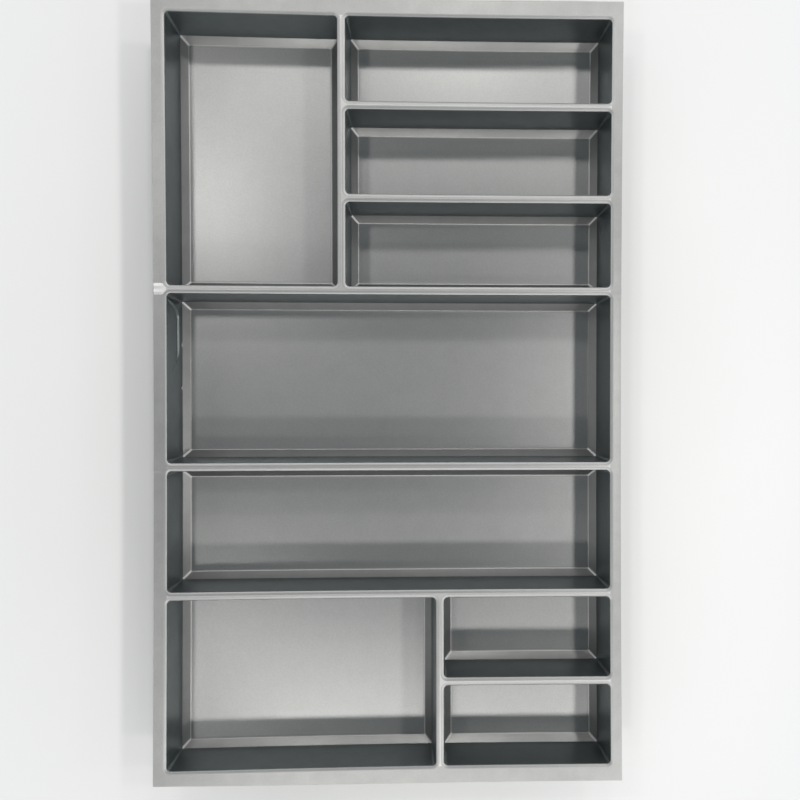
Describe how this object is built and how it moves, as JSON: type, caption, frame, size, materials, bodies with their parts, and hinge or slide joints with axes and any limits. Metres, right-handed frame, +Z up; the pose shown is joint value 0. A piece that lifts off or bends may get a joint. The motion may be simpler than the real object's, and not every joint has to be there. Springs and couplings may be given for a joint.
{
  "type": "cutlery tray",
  "caption": "Silver-grey formed plastic drawer tray: a flat trimmed rim with rounded dividers around deep rectangular wells for cutlery and kitchen tools.",
  "frame": {"origin": "middle of the tray, on the plane that the floors of the wells rest on", "axes": "+Z up out of the wells, +Y along the tray's long side towards the stack of long narrow wells, +X across the tray towards that stack's side"},
  "size_m": [0.49, 0.82, 0.0514],
  "materials": {
    "silver_plastic": "satin silver-grey plastic, finely grained on the floors of the wells"
  },
  "bodies": {
    "root": {"deck": "silver_plastic", "utensil_well": "silver_plastic", "knife_well": "silver_plastic", "fork_well": "silver_plastic", "spoon_well": "silver_plastic", "tool_well": "silver_plastic", "server_well": "silver_plastic", "gadget_well": "silver_plastic", "teaspoon_well": "silver_plastic", "small_well": "silver_plastic"}
  },
  "joints": []
}
